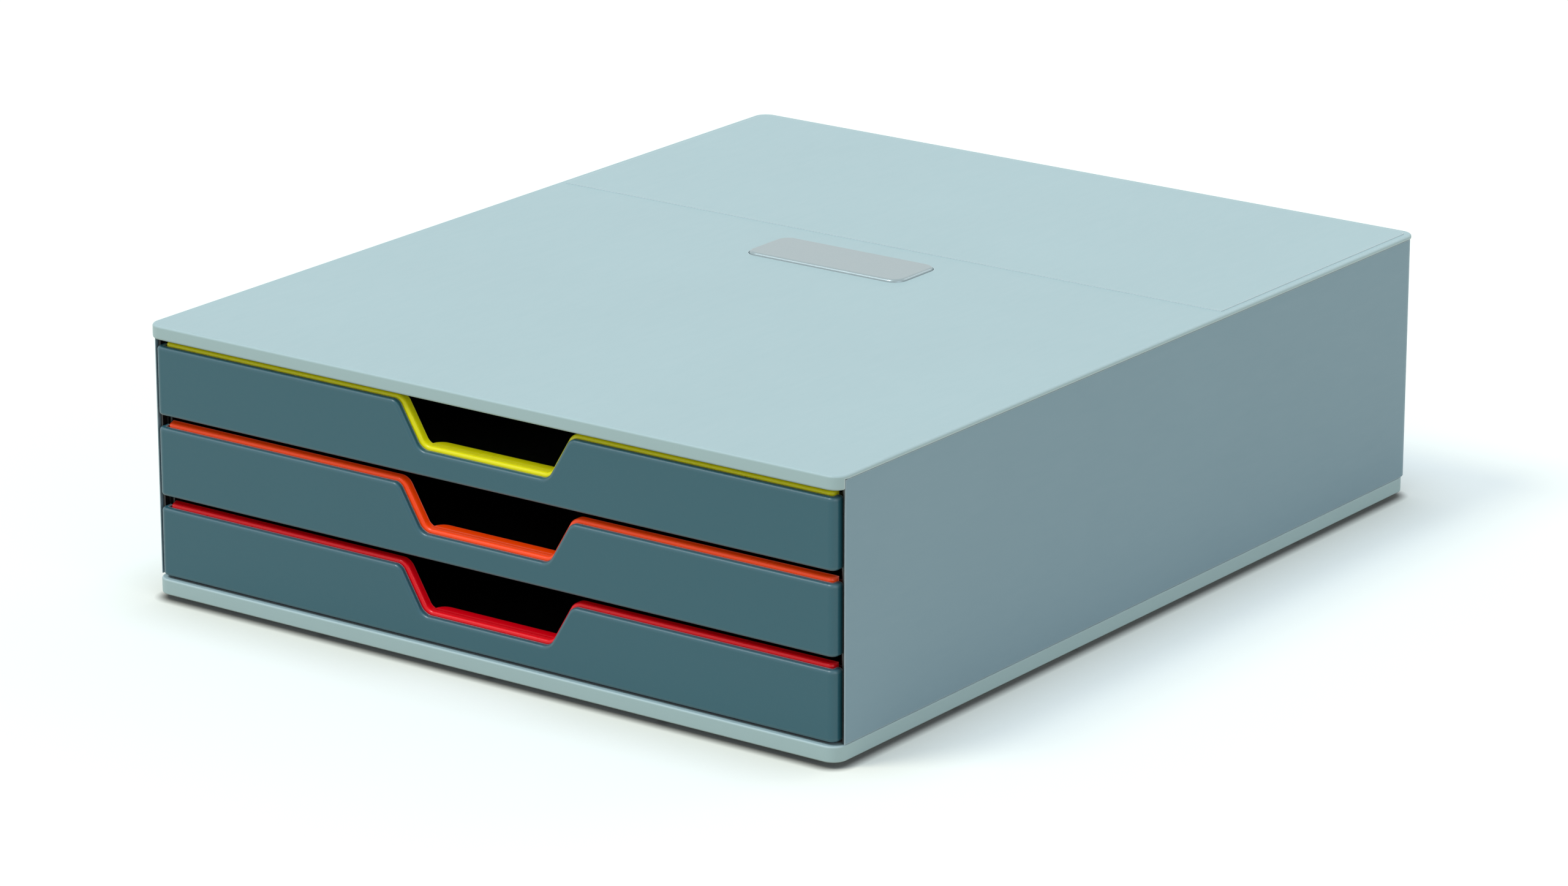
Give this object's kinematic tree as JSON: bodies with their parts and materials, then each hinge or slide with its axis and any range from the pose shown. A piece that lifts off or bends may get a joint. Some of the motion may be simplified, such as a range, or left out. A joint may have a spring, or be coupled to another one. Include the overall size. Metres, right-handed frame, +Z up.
{
  "type": "desktop file drawer",
  "caption": "Flat desktop file drawer: a grey housing whose anthracite drawers, each with a coloured lip and a finger cut-out, slide out of the front.",
  "frame": {"origin": "on the desk top, under the middle of the housing", "axes": "+X across the width to the right as seen from the front, +Y from the front to the back (the drawers open towards -Y), +Z up"},
  "size_m": [0.292, 0.356, 0.0997],
  "materials": {
    "cover_plastic": "fine satin moulded plastic, pale grey",
    "wall_plastic": "fine satin moulded plastic, mid grey",
    "front_plastic": "fine satin moulded plastic, anthracite",
    "tray_plastic": "semi-gloss moulded plastic, black",
    "lip_yellow": "semi-gloss moulded plastic, lemon yellow",
    "lip_orange": "semi-gloss moulded plastic, orange",
    "lip_red": "semi-gloss moulded plastic, red",
    "badge_silver": "silver-grey painted plate, blank",
    "foot_rubber": "black rubber",
    "screw_steel": "zinc-plated steel"
  },
  "bodies": {
    "housing": {"top_cover": "cover_plastic", "badge_plate": "badge_silver", "left_side_panel": "wall_plastic", "right_side_panel": "wall_plastic", "rear_panel": "wall_plastic", "base_plate": "cover_plastic", "left_runner_frame": "tray_plastic", "right_runner_frame": "tray_plastic", "foot_front_left": "foot_rubber", "foot_front_right": "foot_rubber", "foot_rear_left": "foot_rubber", "foot_rear_right": "foot_rubber", "base_screw_front_left": "screw_steel", "base_screw_middle_left": "screw_steel", "base_screw_rear_left": "screw_steel", "base_screw_front_right": "screw_steel", "base_screw_middle_right": "screw_steel", "base_screw_rear_right": "screw_steel"},
    "bottom_drawer": {"bottom_front": "front_plastic", "bottom_lip": "lip_red", "bottom_tray": "tray_plastic"},
    "middle_drawer": {"middle_front": "front_plastic", "middle_lip": "lip_orange", "middle_tray": "tray_plastic"},
    "top_drawer": {"top_front": "front_plastic", "top_lip": "lip_yellow", "top_tray": "tray_plastic"}
  },
  "joints": [
    {"name": "bottom_drawer_slide", "type": "slide", "parent": "housing", "child": "bottom_drawer", "axis": [0, -1, 0], "range_m": [0, 0.25]},
    {"name": "middle_drawer_slide", "type": "slide", "parent": "housing", "child": "middle_drawer", "axis": [0, -1, 0], "range_m": [0, 0.25]},
    {"name": "top_drawer_slide", "type": "slide", "parent": "housing", "child": "top_drawer", "axis": [0, -1, 0], "range_m": [0, 0.25]}
  ]
}
